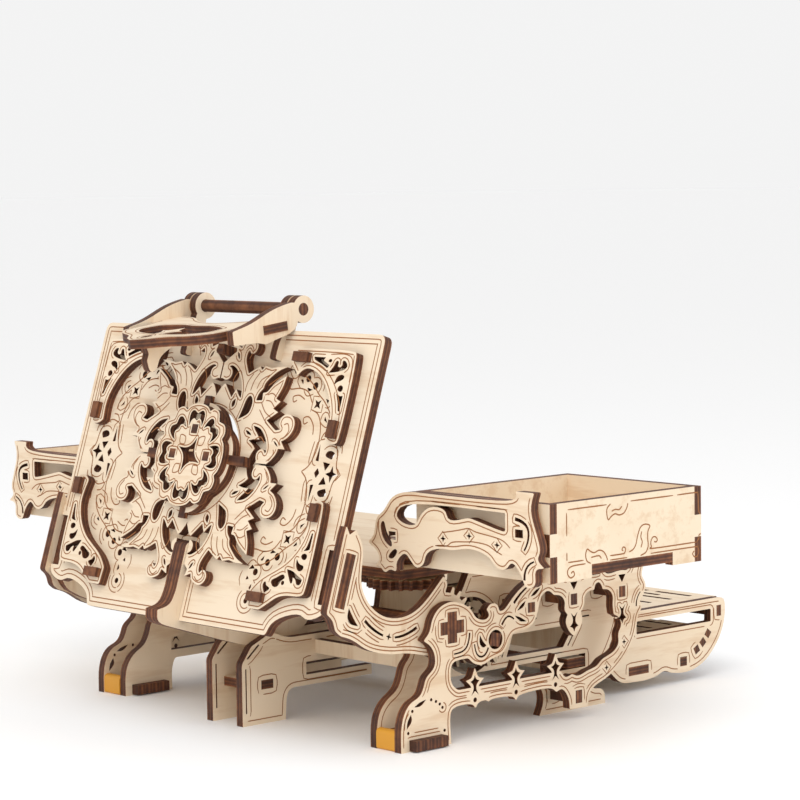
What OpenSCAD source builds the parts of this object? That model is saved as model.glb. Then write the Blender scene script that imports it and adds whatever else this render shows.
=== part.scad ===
// Laser-cut plywood puzzle box: a lid on side arms, two trays that swing out as the lid opens,
// and a ring drawer that slides out behind.  It is drawn with the lid open, which is the rest pose.
// X runs from the front feet to the drawer, Y across the box, Z up from the floor.

/* [Box] */
// Thickness of the plywood
ply = 3; // [2.8:0.1:3.2]
// Width over the two outer side panels
box_w = 152; // [151:0.5:156]
// Distance from the outer face of the outer panel to that of the inner panel
panel_pitch = 11.4; // [11.2:0.1:12]
// Distance from the front feet back to the part's origin
origin_back = 65; // [60:1:70]

/* [Motion] */
// How far the lid turns from shut to open
lid_swing = 72; // [60:1:72]
// How far each tray turns from shut to open
tray_swing = 90; // [75:1:90]
// How far the latch turns from hanging to flipped over the lid
latch_swing = 205; // [180:1:205]

/* [Gears] */
// Gear module, pitch diameter over teeth
tooth_m = 1; // [1:1:1]
// Teeth of a full lid sector gear
lid_teeth = 23; // [23:1:23]
// Teeth of the idler pinion that the lid sector turns
pinion_teeth = 16; // [16:1:16]
// Teeth of the idler wheel under the carriage rack
wheel_teeth = 20; // [20:1:20]
// Teeth of a tray gear
tray_teeth = 23; // [23:1:23]
// Teeth of the small and the large step-up gear
step_teeth = [10, 33]; // [10:1:33]

/* [Trays] */
// Outside height of a tray
tray_h = 23; // [18:1:23]
// Where the trays start and end along X when shut
tray_x = [49.5, 105.5]; // [49:0.5:106]
// Inner and outer side of a shut tray, from the middle of the box
tray_y = [2, 68]; // [2:0.5:68]

/* [Hidden] */

outer_y = box_w / 2;
inner_y = outer_y - panel_pitch;
birch = [0.91, 0.81, 0.67];
birch_dark = [0.85, 0.72, 0.55];
burnt = [0.45, 0.28, 0.17];
amber = [0.85, 0.60, 0.14];
hinge = [22, 35.9];
hinge_r = 2.9;
run_gap = 0.06;
lid_r = lid_teeth * tooth_m / 2;
pinion_r = pinion_teeth * tooth_m / 2;
wheel_r = wheel_teeth * tooth_m / 2;
tray_r = tray_teeth * tooth_m / 2;
step_r = step_teeth * tooth_m / 2;
mesh_angle = -17.8;
idler = hinge + (lid_r + pinion_r) * [cos(mesh_angle), sin(mesh_angle)];
idler_turn = lid_swing * lid_r / pinion_r;
carriage_travel = idler_turn * PI / 180 * wheel_r;
step_x = 66;
step_turn = carriage_travel / step_r[0] * 180 / PI;
drawer_travel = step_turn * PI / 180 * step_r[1];
tray_pivot = [26, 51];
latch_pivot = [109.3, 81.3];
latch_y = 26;
pitch = PI * tooth_m;
rack_z = idler[1] + wheel_r;
carriage_z = 46;
step_wheel_z = 40;
deck_z = 50;
tray_floor_z = 57;
tray_z = 56;
arm_y = [69.4, 72.4];
liner_y = [66.4, 69.4];
wheel_y = inner_y - ply - 3.4;
plate_z = 79.5;
smooth = 99;

// ---- outlines -------------------------------------------------------------------------------

// A point at most c from a on the way to b, and never past the middle
function toward(a, b, c) = a + (b - a) * min(c / norm(b - a), 0.5);
function bez(a, v, b, t) = a * (1 - t) * (1 - t) + v * 2 * t * (1 - t) + b * t * t;
function cut_of(v) = len(v) > 2 ? v[2] : smooth;
function xy(v) = [v[0], v[1]];
// A closed outline.  A point is [x, y] on a flowing curve, or [x, y, c] with its corner cut back by c.
function outline(p, k = 4) = [
    for (i = [0:len(p) - 1])
        let (n = len(p), v = xy(p[i]), after = p[(i + 1) % n], before = p[(i + n - 1) % n], c = cut_of(p[i]),
             half = norm(xy(after) - v) / 2, last = (c >= half && cut_of(after) >= half) ? k - 1 : k,
             a = toward(v, xy(before), c), b = toward(v, xy(after), c))
        for (j = [0:(c == 0 ? 0 : last)]) c == 0 ? v : bez(a, v, b, j / k)];
// An open flowing curve that starts at the first point and ends at the last
function flow(p, k = 5) = let (n = len(p)) n < 3 ? p : [
    p[0],
    for (i = [1:n - 2])
        let (a = i == 1 ? p[0] : (p[i - 1] + p[i]) / 2, b = i == n - 2 ? p[n - 1] : (p[i] + p[i + 1]) / 2)
        for (j = [1:k]) bez(a, p[i], b, j / k)];
function normal_at(c, i) = let (n = len(c), d = c[min(i + 1, n - 1)] - c[max(i - 1, 0)]) [-d[1], d[0]] / norm(d);
// The outline of a stroke along curve c, w wide at its start and end_w at its end
function stroke(c, w, end_w) = let (n = len(c)) concat(
    [for (i = [0:n - 1]) c[i] + normal_at(c, i) * (w + (end_w - w) * i / (n - 1)) / 2],
    [for (i = [n - 1:-1:0]) c[i] - normal_at(c, i) * (w + (end_w - w) * i / (n - 1)) / 2]);
// One quarter of an outline, drawn from the +Y axis to the +X axis, completed by mirroring
function flip(p, sx, sy) = [for (i = [len(p) - 1:-1:0]) concat([sx * p[i][0], sy * p[i][1]], len(p[i]) > 2 ? [p[i][2]] : [])];
function turned(p) = [for (v = p) concat([-v[0], -v[1]], len(v) > 2 ? [v[2]] : [])];
function four_ways(p) = concat(p, flip(p, 1, -1), turned(p), flip(p, -1, 1));
// One part of an outline repeated n times round the origin
function spin_xy(v, a) = concat([v[0] * cos(a) - v[1] * sin(a), v[0] * sin(a) + v[1] * cos(a)], len(v) > 2 ? [v[2]] : []);
function round_about(p, n) = [for (k = [0:n - 1]) each [for (v = p) spin_xy(v, k * 360 / n)]];
// Teeth centred on angle 0, cut slim so that a pair runs with play
function gear_points(teeth, first = 0, last = -1) =
    let (r = teeth * tooth_m / 2, step = 360 / teeth, tip = r + 0.85 * tooth_m, root = r - 1.15 * tooth_m)
    [for (i = [first:(last < first ? teeth - 1 : last)]) each [
        for (s = [[-0.30, root], [-0.12, tip], [0.12, tip], [0.30, root]]) s[1] * [cos((i + s[0]) * step), sin((i + s[0]) * step)]]];
// A row of n rack teeth pointing along +Y from y = 0, the first centred on x = 0
function rack_points(n) = [
    for (i = [0:n - 1]) each [
        for (s = [[-0.30, -1.15], [-0.12, 0.85], [0.12, 0.85], [0.30, -1.15]]) [(i + s[0]) * pitch, s[1] * tooth_m]]];

module shape(p) polygon(outline(p));
module slit(p, w = 0.9, end_w = 0.5) polygon(stroke(flow(p), w, end_w));
module box2(lo, hi) translate(lo) square(hi - lo);
module star(at, r = 1.5) translate(at) polygon([for (i = [0:7]) (i % 2 == 0 ? r : r * 0.38) * [cos(i * 45), sin(i * 45)]]);
module dot(at, r = 0.7) translate(at) circle(r = r, $fn = 16);
module gear2(teeth, turn) rotate(turn) polygon(gear_points(teeth));

// ---- placing --------------------------------------------------------------------------------

// Plates cut from a 2-D shape: in the XZ plane from y0, in the XY plane from z0, in the YZ plane from x0
module plate_y(y0, t = ply) translate([0, y0 + t, 0]) rotate([90, 0, 0]) linear_extrude(t) children();
module plate_z(z0, t = ply) translate([0, 0, z0]) linear_extrude(t) children();
module plate_x(x0, t = ply) translate([x0, 0, 0]) rotate([90, 0, 90]) linear_extrude(t) children();
module brick(lo, hi) translate(lo) cube(hi - lo);
module rod_y(at, r, y0, y1) translate([at[0], y1, at[1]]) rotate([90, 0, 0]) cylinder(r = r, h = y1 - y0, $fn = 48);
module rod_z(at, r, z0, z1) translate([at[0], at[1], z0]) cylinder(r = r, h = z1 - z0, $fn = 48);
module far() mirror([0, 1, 0]) children();
module both() {
    children();
    far() children();
}
module placed() translate([-origin_back, 0, 0]) children();
module about_y(at, angle) translate([at[0], 0, at[1]]) rotate([0, angle, 0]) translate([-at[0], 0, -at[1]]) children();
module lid_open() placed() about_y(hinge, -lid_swing) children();
module latch_open() lid_open() about_y(latch_pivot, -latch_swing) children();
module idler_open() placed() about_y(idler, idler_turn) children();
module carriage_open() placed() translate([carriage_travel, 0, 0]) children();
module step_open() placed() translate([step_x, 0, 0]) rotate(-step_turn) children();
module drawer_open() placed() translate([drawer_travel, 0, 0]) children();
// The near tray turns outwards about its pivot; the far one is its mirror image
module tray_open() placed() translate([tray_pivot[0], -tray_pivot[1], 0]) rotate(-tray_swing)
    translate([-tray_pivot[0], tray_pivot[1], 0]) children();

// ---- base -----------------------------------------------------------------------------------

rail_top = 16.2;
spacer_x = [[74.5, 77.5], [97.2, 100.2]];
spacer_z = [36.8, 40.4];
square_tenon = [[55, 36.6], [58.2, 39.8]];
cross_tenon = [[76.4, 4.8], [79.4, 9]];
post_x = [64.8, 84.3];
slot_x = [20.5, 93];
slot_z = [13.4, 17.8];

front_foot = [[0, 0, 0], [0, 9], [3, 14.6], [8, 16.2], [9.6, 18.8], [10.6, 22], [14.6, 24.4], [14.6, 28.6], [12.6, 31.6],
    [9.8, 33.2, 0.8], [12.6, 35.6], [13.4, 39.4], [16.4, 42.8], [21.5, 44.2], [26.6, 42.9]];

module outer_outline() shape(concat(front_foot, [
    [30.2, 40.6], [32.2, 37.4], [36.2, 36.4], [38.2, 37.8], [36.8, 39.8, 0.4], [38.6, 41.6], [41.6, 41], [42.4, 38.6, 0.6],
    [44.6, 38.6], [49, 43], [55, 46.6], [64.2, 48.8, 0.6], [64.7, 45.6, 0], [67.9, 45.6, 0], [68.2, 48.8, 0.6],
    [70.5, 48.2], [71.5, 45], [76, 45.8], [80.5, 45], [81.6, 48.4], [83.9, 48.8, 0.6], [84.2, 45.6, 0], [87.4, 45.6, 0],
    [87.8, 48.8, 0.6], [90, 46], [92, 44.8], [98, 45.8], [102, 45], [102.5, 50], [107, 52.5], [109.6, 47], [107.6, 43],
    [110.4, 40], [109, 36.4], [107, 34.6, 0.5], [108.6, 32.6], [106, 30], [105.4, 26], [103.6, 21.6], [99, 16.2], [92, 11.5],
    [85, 9.5], [82.4, 7], [82.2, 3.2, 0.5], [73.6, 3.4, 0.5], [73.4, 7], [70.5, 10.8], [67.6, 9.8, 0.4], [64.8, 11.8],
    [50.8, 11.4], [49.3, 9.6, 0.4], [47.8, 11.4], [38.4, 11.6], [37.2, 10.8, 0.3], [36, 11.6], [33, 11.4], [31.5, 9.6, 0.4],
    [30, 11.4], [21.5, 11.4], [20.4, 8], [21, 0, 0]]));

// Fleurs stand on the rail, from the rear one to the front one
fleur_x = [67.2, 49.4, 31.4];
fleur_points = [for (x = fleur_x) each [
    for (v = [[1.7, 0, 0], [1.8, 0.6], [3.9, 2.4, 0.2], [1.7, 2.8], [1.1, 3.6], [0, 6, 0.2], [-1.1, 3.6], [-1.7, 2.8],
            [-3.9, 2.4, 0.2], [-1.8, 0.6], [-1.7, 0, 0]])
        concat([x + v[0], rail_top + v[1]], len(v) > 2 ? [v[2]] : [])]];

// Left of the rail: the space under the gears.  Right of it: two cusped arches that share a hanging point.
module outer_window() shape(concat([
    [24, rail_top, 1], [21, 18.6], [21, 24], [23, 25.6], [28.6, 25.6, 0.5], [31.4, 23.2], [35.5, 22.6], [38.6, 24.2],
    [44.4, 25], [46.8, 29.8], [49, 31.4], [54, 31.4], [58, 33.2], [59.6, 37], [60.4, 40.2], [62, 42.2], [64.6, 42.8],
    [66.8, 41, 0.6], [70, 40.6], [72, 38.4], [71.4, 35.6], [73, 34, 0.4], [71.8, 31.8], [73.4, 28.6], [76, 26.6, 0.3],
    [78.6, 28.6], [80.2, 31.8], [79, 34, 0.4], [81, 36.4], [80.6, 39], [83, 40.6], [85.4, 40.6, 0.4], [86, 42.6], [87.8, 43],
    [89, 41.6], [89.4, 40.4, 0.4], [92.4, 40], [94.4, 37.8], [94, 34.6], [94.6, 31.6, 0.4], [97.2, 30.4], [98.4, 27.6],
    [96.4, 25.2], [97, 21.8], [94.6, 19.4], [91.4, 18.4, 0.6], [88.6, 17.6], [86.4, 15.6], [82, 14.8, 0.6], [77.6, 13.4],
    [74.8, 14.6, 0.6], [71.6, 13.6], [69.6, rail_top, 0.5]], fleur_points));

// The pierced star in a fleur, its head up or down
module fleur_star(at, up) translate(at) mirror([0, up ? 0 : 1]) shape([[0, 3.6, 0.2], [0.6, 2.1], [2, 1.7, 0.2], [0.7, 0.7],
    [0.5, -0.9], [1.6, -2.8, 0.2], [0, -1.4, 0.3], [-1.6, -2.8, 0.2], [-0.5, -0.9], [-0.7, 0.7], [-2, 1.7, 0.2], [-0.6, 2.1]]);
module tenon_slots() {
    for (s = spacer_x) box2([s[0], spacer_z[0]], [s[1], spacer_z[1]]);
    box2(square_tenon[0], square_tenon[1]);
    box2(cross_tenon[0], cross_tenon[1]);
    box2([3.4, 0.4], [17, 3.6]);
}
module cross2(at, long, wide) translate(at) union() {
    square([long, wide], center = true);
    square([wide, long * 0.97], center = true);
}
module outer_side_2d() difference() {
    outer_outline();
    difference() {
        outer_window();
        translate(idler) circle(r = 5.4, $fn = 48);
    }
    tenon_slots();
    cross2(hinge, 10, 4);
    translate(idler) circle(r = 3.05, $fn = 48);
    for (x = fleur_x) {
        fleur_star([x, rail_top + 0.2], true);
        dot([x, rail_top - 4], 0.75);
    }
    for (x = [76, 98.6]) {
        fleur_star([x, 31.6], false);
        shape([[x - 1.7, 44.2, 0.2], [x + 1.7, 44.2, 0.2], [x, 41.6, 0.2]]);
    }
    star([99.4, 22], 1.1);
    star([91, 14.6], 1.1);
    for (p = [[12.7, 14.8], [14.7, 14], [16.3, 13], [17.4, 11.8], [4.8, 12.3], [3, 5.8], [18.2, 4.6]]) dot(p, 0.5);
    shape([[5.6, 13.4, 0.2], [7.6, 14.6], [10.6, 15.2, 0.2], [8.4, 13.2]]);
    shape([[2.4, 7, 0.2], [2.6, 9.4], [4.2, 11.4, 0.2], [4.8, 9.2]]);
    slit([[48.8, 40.4], [51.4, 43.2], [55.4, 45.2]], 1, 0.6);
    slit([[43.4, 34.2], [44.8, 36.2], [47, 36.8], [48.8, 35.4]], 0.8, 0.5);
    shape([[50.2, 37.8, 0.2], [52, 39.6], [54, 40.6, 0.2], [53.2, 38.6]]);
    shape([[49.2, 36.4, 0.2], [51.4, 35.8], [54.4, 34, 0.2], [51.2, 34.2]]);
    shape([[56.2, 41.6, 0.2], [58.2, 43.4], [60.8, 44.2, 0.2], [58.8, 42]]);
    slit([[31.4, 29.6], [31.8, 26.6], [34.2, 25], [36.6, 26], [37.4, 27.8]], 0.5, 0.7);
    shape([[33.8, 32.2, 0.2], [33.4, 29.4], [35.2, 27.8], [36.6, 28.6, 0.3], [35.2, 29.8]]);
    slit([[22.6, 27.6], [26.4, 27.6], [29, 30], [29.4, 33.4]], 0.5, 0.7);
    slit([[107.4, 37.6], [105.2, 35.6], [105.4, 33]], 0.4, 0.6);
}
module outer_side() color(birch) placed() plate_y(-outer_y) outer_side_2d();

module inner_side_2d() difference() {
    shape([[0.6, 0, 0], [0.6, 9], [4, 14], [9, 16.5], [11, 20], [12, 24], [15.5, 27], [14, 31], [13, 36], [17, 41.4],
        [26, 41.4], [33, 41, 2], [37, 43.8, 2], [40.5, 50, 0.5], [62, 50, 0], [108.5, 50, 1], [111.6, 42], [109.5, 28],
        [104, 17], [97.5, 10.5], [94.4, 7.6], [97, 5.4], [100.5, 5.2], [102.2, 3.6], [102.4, 0, 0], [71.4, 0, 0],
        [73.4, 4], [73, 8], [70, 10.6, 3], [22, 10.6, 1], [20.4, 7], [20.6, 0, 0]]);
    translate(idler) circle(r = 12.2, $fn = 64);
    translate(hinge) circle(r = hinge_r + run_gap, $fn = 48);
    box2([slot_x[0], slot_z[0]], [slot_x[1], slot_z[1]]);
    shape([[56.6, 21, 0.3], [82.6, 21, 0.3], [88, 28, 0.3], [59.6, 28, 0.3]]);
    tenon_slots();
    for (x = post_x) box2([x, 45.6], [x + ply, 51]);
    slit([[54.6, 21.2], [57.4, 28.2]], 0.5, 0.5);
    slit([[84.8, 21.2], [89.8, 27.8]], 0.5, 0.5);
    slit([[60.4, 29.6], [66, 29.4], [70.4, 32]], 0.5, 0.5);
    slit([[82.6, 32.4], [86.4, 29.6], [95, 30]], 0.5, 0.5);
}
module inner_side() color(birch_dark) placed() plate_y(-inner_y) inner_side_2d();

beam_y = 6;
beam_hole = [[1.4, 11], [6.4, 14]];
module beam() color(birch) placed() plate_y(-beam_y - ply) difference() {
    shape([[-6.5, 0, 0], [-6.5, 20, 1], [-2.5, 25.4, 1], [6, 29, 2], [13, 26.4, 3], [49, 26.4, 0], [49, 10, 0], [14, 10, 2],
        [12, 8, 2], [11.4, 0, 0]]);
    box2(beam_hole[0], beam_hole[1]);
    box2([slot_x[0], slot_z[0]], [50, slot_z[1]]);
    box2([24.5, 20], [27.5, 24.5]);
    slit([[-4.9, 4], [-4.9, 18.4]], 0.5, 0.5);
    slit([[-4.2, 21.6], [0.6, 25.6]], 0.6, 0.6);
}
// A board that joins the two beams, its tenons flush with their outer faces
module beam_spacer() color(birch_dark) placed() union() {
    brick([-1.6, -beam_y, 11], [7.6, beam_y, 14]);
    brick([beam_hole[0][0], -beam_y - ply, 11], [beam_hole[1][0], beam_y + ply, 14]);
}
module beam_ties() color(birch_dark) placed() both()
    brick([24.5, -inner_y + ply, 20], [27.5, -beam_y, 24.5]);
module deck() color(birch) placed() plate_z(deck_z) difference() {
    box2([14, -inner_y], [108, inner_y]);
    box2([13, -4.4], [46, 4.4]);
    both_2d() translate(tray_pivot) circle(r = 3 + run_gap, $fn = 48);
    translate([step_x, 0]) circle(r = 3 + run_gap, $fn = 48);
    both_2d() for (x = post_x) box2([x, inner_y - ply], [x + ply, inner_y + 1]);
    both_2d() box2([13, inner_y - ply], [40, inner_y + 1]);
}
module both_2d() {
    children();
    mirror([0, 1]) children();
}
module quarters() for (sx = [0, 1]) for (sy = [0, 1]) mirror([sx, 0]) mirror([0, sy]) children();
module deck_posts() color(burnt) placed() both() for (x = post_x)
    brick([x, -outer_y - 0.8, 45.6], [x + ply, -inner_y + ply, 54]);
module panel_spacers() color(burnt) placed() both() union() {
    for (s = spacer_x) brick([s[0], -outer_y, spacer_z[0]], [s[1], -inner_y + ply, spacer_z[1]]);
    brick([square_tenon[0][0], -outer_y, square_tenon[0][1]], [square_tenon[1][0], -inner_y + ply, square_tenon[1][1]]);
}
module rear_foot_spacers() color(burnt) placed() both() brick([cross_tenon[0][0], -outer_y, cross_tenon[0][1]],
    [cross_tenon[1][0], -inner_y + ply, cross_tenon[1][1]]);
module foot_bars() color(burnt) placed() both()
    brick([3.4, -outer_y - 3, 0.4], [17, -inner_y + ply + 3, 3.6]);
module foot_plugs() color(amber) placed() both() plate_y(-outer_y + ply, panel_pitch - ply)
    shape([[0.2, 0, 1], [0.2, 6.4, 1.6], [3.2, 6.4, 1], [3.2, 0, 0.5]]);
// Round where the arms turn, cross-shaped in the outer panels
module hinge_axle() color(burnt) placed() union() {
    rod_y(hinge, hinge_r, -outer_y + ply, outer_y - ply);
    both() plate_y(-outer_y) cross2(hinge, 9.9, 3.9);
}

// ---- idler, carriage and step-up gear -------------------------------------------------------

key = 4.2;
module idler_axle() color(burnt) idler_open() translate([idler[0], 0, idler[1]])
    cube([key, box_w, key], center = true);
// The phases put a tooth of one gear in a gap of the other
module idler_pinions() color(birch_dark) idler_open() both() plate_y(-arm_y[1]) difference() {
    translate(idler) gear2(pinion_teeth, mesh_angle + 180 + 180 / pinion_teeth);
    translate(idler) square(key, center = true);
}
module idler_wheels() color(birch_dark) idler_open() both() plate_y(-wheel_y) difference() {
    translate(idler) gear2(wheel_teeth, 90);
    translate(idler) square(key, center = true);
}
fork_x = [4, 77];
fork_gap = 72.5;
carriage_inner = tray_pivot[1] - tray_r;
wing_x = [40.5, 52];

fork_side = carriage_inner - 1.15;
side_rack = [for (p = rack_points(10)) p + [tray_pivot[0] - 6.5 * pitch, carriage_inner]];
fork_half = concat([[fork_x[0], fork_side]], side_rack, [[wing_x[0], fork_side], [wing_x[0], wheel_y],
    [wing_x[1], wheel_y], [wing_x[1], fork_side], [fork_x[1], fork_side]]);
// The gap between the prongs, with teeth on the far one that face the step-up pinion
gap_y = [-step_r[0] - 1.6, step_r[0] + 1.15];
gap_rack = [for (p = rack_points(10)) [step_x + 1.5 * pitch, step_r[0]] - p];
module carriage_fork() color(birch_dark) carriage_open() plate_z(carriage_z) difference() {
    polygon(concat(fork_half, flip(fork_half, 1, -1)));
    polygon(concat([[fork_x[0] - 1, gap_y[0]], [fork_gap, gap_y[0]], [fork_gap, gap_y[1]]], gap_rack,
        [[fork_x[0] - 1, gap_y[1]]]));
}
module carriage_rails() color(birch_dark) carriage_open() both() plate_y(-wheel_y) union() {
    translate([idler[0] + 3.5 * pitch, rack_z]) rotate(180) polygon(concat(rack_points(12),
        [[11.5 * pitch, -5.4], [-0.5 * pitch, -5.4]]));
    box2([wing_x[0], rack_z + 4], [wing_x[1], carriage_z]);
}
module step_axle() color(burnt) step_open() rod_z([0, 0], 3, step_wheel_z, deck_z + ply);
module step_pinion() color(birch_dark) step_open() plate_z(carriage_z) difference() {
    gear2(step_teeth[0], 90);
    circle(r = 3, $fn = 48);
}
module step_wheel() color(birch_dark) step_open() plate_z(step_wheel_z) difference() {
    gear2(step_teeth[1], 90);
    circle(r = 3, $fn = 48);
}

// ---- drawer ---------------------------------------------------------------------------------

drawer_y = 57.6;
drawer_x = [52.5, 58.6, 110.5];
bar_x = [24, 32];
module drawer_side() color(birch) drawer_open() plate_y(-drawer_y) difference() {
    shape([[22.5, 10.6, 1], [22.5, 18.4, 1], [51, 18.4, 1], [52.5, 27, 1], [108, 27.2, 1], [112, 26.4], [111, 16],
        [103, 6.5], [94, 3], [84, 3.4], [80, 5.4], [76, 3.6], [70, 3, 1], [58, 3.4, 3], [50, 10.4, 3]]);
    box2([bar_x[0], 14], [bar_x[1], 17]);
    box2([62, 5.4], [72, 8.4]);
    box2([88, 5.4], [91.5, 8.6]);
    shape([[66, 19.2, 0.5], [104, 19.2, 0.5], [104, 23.6, 0.5], [66, 23.6, 0.5]]);
    translate([108.3, 22.5]) square([2.4, 3.8], center = true);
    for (a = [-38, -50, -62]) translate([88, 26.5]) rotate(a) translate([18.4, 0]) square([2.6, 2.6], center = true);
    box2([52.5, 16], [55.5, 20]);
}
slat_at = [for (a = [-38, -50, -62]) [88, 26.5] + 18.4 * [cos(a), sin(a)]];
module drawer_floor() color(birch) drawer_open() union() {
    brick([55.5, -drawer_y + ply, 5.4], [94, drawer_y - ply, 8.4]);
    brick([62, -drawer_y, 5.4], [72, drawer_y, 8.4]);
    brick([88, -drawer_y, 5.4], [91.5, drawer_y, 8.4]);
}
// Its ends run in the long slots of the inner panels
module drawer_cross_bar() color(birch_dark) drawer_open() brick([bar_x[0], -inner_y - 1, 14],
    [bar_x[1], inner_y + 1, 17]);
module drawer_front() color(birch) drawer_open() union() {
    brick([52.5, -drawer_y + ply, 5.4], [55.5, drawer_y - ply, 27]);
    brick([52.5, -drawer_y, 16], [55.5, drawer_y, 20]);
}
module drawer_back_slats() color(birch_dark) drawer_open() union() {
    for (i = [0:2]) translate([slat_at[i][0], 0, slat_at[i][1]]) rotate([0, [38, 50, 62][i], 0])
        cube([2.6, 2 * drawer_y, 2.6], center = true);
    brick([107.1, -drawer_y, 20.6], [109.5, drawer_y, 24.4]);
}
ring_rows = 9;
ring_cols = 5;
module ring_plate_2d() difference() {
    box2([drawer_x[1], -drawer_y + ply], [drawer_x[2], drawer_y - ply]);
    for (row = [0:ring_rows - 1]) for (col = [0:ring_cols - (row % 2 == 0 ? 1 : 2)])
        translate([63 + row * 5.2, (col - (ring_cols - 1) / 2 + (row % 2) / 2) * 20]) square([2, 16], center = true);
}
module ring_plate_upper() color(birch) drawer_open() plate_z(24.4, 2.6) ring_plate_2d();
module ring_plate_lower() color(birch) drawer_open() plate_z(15.6, 2.6) difference() {
    ring_plate_2d();
    box2([100, -60], [112, 60]);
}
module drawer_rack() color(birch_dark) drawer_open() plate_z(step_wheel_z) union() {
    translate([step_x + 0.5 * pitch - 21 * pitch, step_r[1]]) rotate(0) mirror([0, 1]) polygon(concat(rack_points(22),
        [[21.5 * pitch, -5.5], [-0.5 * pitch, -5.5]]));
}
module drawer_rack_bracket() color(birch) drawer_open() plate_x(55.5) shape([[10, 18, 2], [30, 18, 2], [24, 26],
    [23, 36], [22, step_wheel_z, 0], [18, step_wheel_z, 0], [16, 34], [15, 26]]);

// ---- lid ------------------------------------------------------------------------------------

lid_x = [13, 102];
lid_y = 69.4;
lid_mid = 58;
module lid_outline() shape([[lid_x[1], -lid_y, 3], [lid_x[1], lid_y, 3], [lid_x[0] + 3, lid_y, 3], [lid_x[0], lid_y - 7],
    [lid_x[0] + 2.5, 58], [lid_x[0] - 1, 47], [lid_x[0] - 6, 45, 1], [lid_x[0] - 6, -45, 1], [lid_x[0] - 1, -47],
    [lid_x[0] + 2.5, -58], [lid_x[0], -lid_y + 7], [lid_x[0] + 3, -lid_y, 3]]);
// Pierced holes of the filigree band, drawn for one quarter about the middle of the lid
module band_holes() {
    star([0, 58.6], 2.7);
    shape([[1.6, 52, 0.3], [0, 50.8, 0.3], [-1.6, 52, 0.3], [0, 53.2, 0.3]]);
    shape([[0.9, 55.5, 0.2], [3.6, 53.8, 0.3], [3.2, 57.2, 0.3]]);
    shape([[3.8, 50.2, 0.2], [3.6, 51.7, 0.2], [9, 50.9, 0.2]]);
    shape([[5.4, 53.6], [4.5, 57.4, 0.4], [6.7, 58.8], [7.5, 55.2]]);
    translate([21.2, 45.5]) rotate(45) star([0, 0], 2);
    dot([26.9, 42.7], 1.2);
    dot([29, 38.8], 1.1);
    shape([[27, 36.8, 0.2], [28.6, 35.2, 0.3], [28.8, 36.6]]);
    shape([[25, 40, 0.2], [26.4, 38.6], [25.6, 41.8, 0.2]]);
    shape([[21.6, 50, 0.2], [23.4, 48.4], [22.6, 50.4, 0.2]]);
    shape([[17.6, 50.2, 0.2], [15.6, 51.8, 0.2], [16.4, 50, 0.2]]);
    shape([[31.4, 33.6, 0.2], [30.2, 32.2, 0.2], [31.8, 30.8, 0.2]]);
}
// Where the band runs on towards the hinge side
module band_end_holes() {
    dot([-32.4, 34.2], 1.1);
    shape([[-34.8, 31.8, 0.2], [-33.6, 30.8], [-35.2, 30.4, 0.3]]);
    shape([[-36.2, 33.6, 0.2], [-37.6, 32.4], [-38.4, 33.8, 0.2]]);
    dot([-41.6, 32.6], 0.9);
}
module lid_plate() color(birch) lid_open() plate_z(plate_z) difference() {
    lid_outline();
    translate([lid_mid, 0]) {
        quarters() band_holes();
        both_2d() band_end_holes();
        circle(r = 16.6, $fn = 64);
    }
    box2([0, -3.1], [32.4, 3.1]);
    both_2d() box2([18.6, lid_y - 4], [35.3, lid_y + 1]);
}
module arm_2d() difference() {
    shape([[42.9, 84.2, 0.6], [40, 84.4, 0.6], [16, 84.4, 1], [14.8, 81.4], [11.8, 79.6, 1], [10.8, 77, 0.8], [10.8, 72],
        [8.6, 65], [9.2, 56], [11.4, 48], [11.8, 40], [14.2, 31], [20, 26.4], [28, 28.4], [32.4, 34.4], [31.6, 38.8],
        [34.6, 38.2, 1], [37, 40.6, 1], [26.6, 46.4], [21.6, 52], [19.4, 60], [21.2, 67.6], [26.4, 73.4], [33, 74.8],
        [38, 75.4], [42.6, 80, 0.6], [40.6, 82.2, 0.4]]);
    box2([18.6, 78], [35.3, 81.8]);
    shape([[15, 71, 0.2], [14.9, 74.8], [16.8, 76.2], [19.6, 76.2, 0.2], [17.2, 73.8]]);
    star([14.4, 57.8], 1.2);
    slit([[17.2, 68.8], [15, 65], [14.3, 60.2]], 1, 0.7);
    slit([[14.7, 55.3], [15.8, 51], [19.4, 47.2]], 0.7, 1);
}
module lid_arm() color(birch) lid_open() plate_y(-arm_y[1]) difference() {
    union() {
        difference() {
            arm_2d();
            translate(idler) circle(r = pinion_r + 1.3, $fn = 64);
        }
        translate(hinge) circle(r = lid_r - 1.1, $fn = 64);
        translate(hinge) rotate(mesh_angle) polygon(concat(gear_points(lid_teeth, -7, 1), [[0, 0]]));
    }
    translate(hinge) circle(r = hinge_r + run_gap, $fn = 48);
}
// The second layer doubles the arm above the gears
module lid_arm_liner() color(birch_dark) lid_open() plate_y(-liner_y[1]) difference() {
    shape([[42, 79.5, 0.5], [15, 79.5, 0.5], [11.6, 76, 2], [10, 68], [10, 60], [12, 51.6, 1], [17.6, 51.6, 1], [17, 62], [20, 70],
        [26, 75, 2], [38, 76.4, 2]]);
    box2([18.6, 78], [35.3, 81.8]);
}
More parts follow.
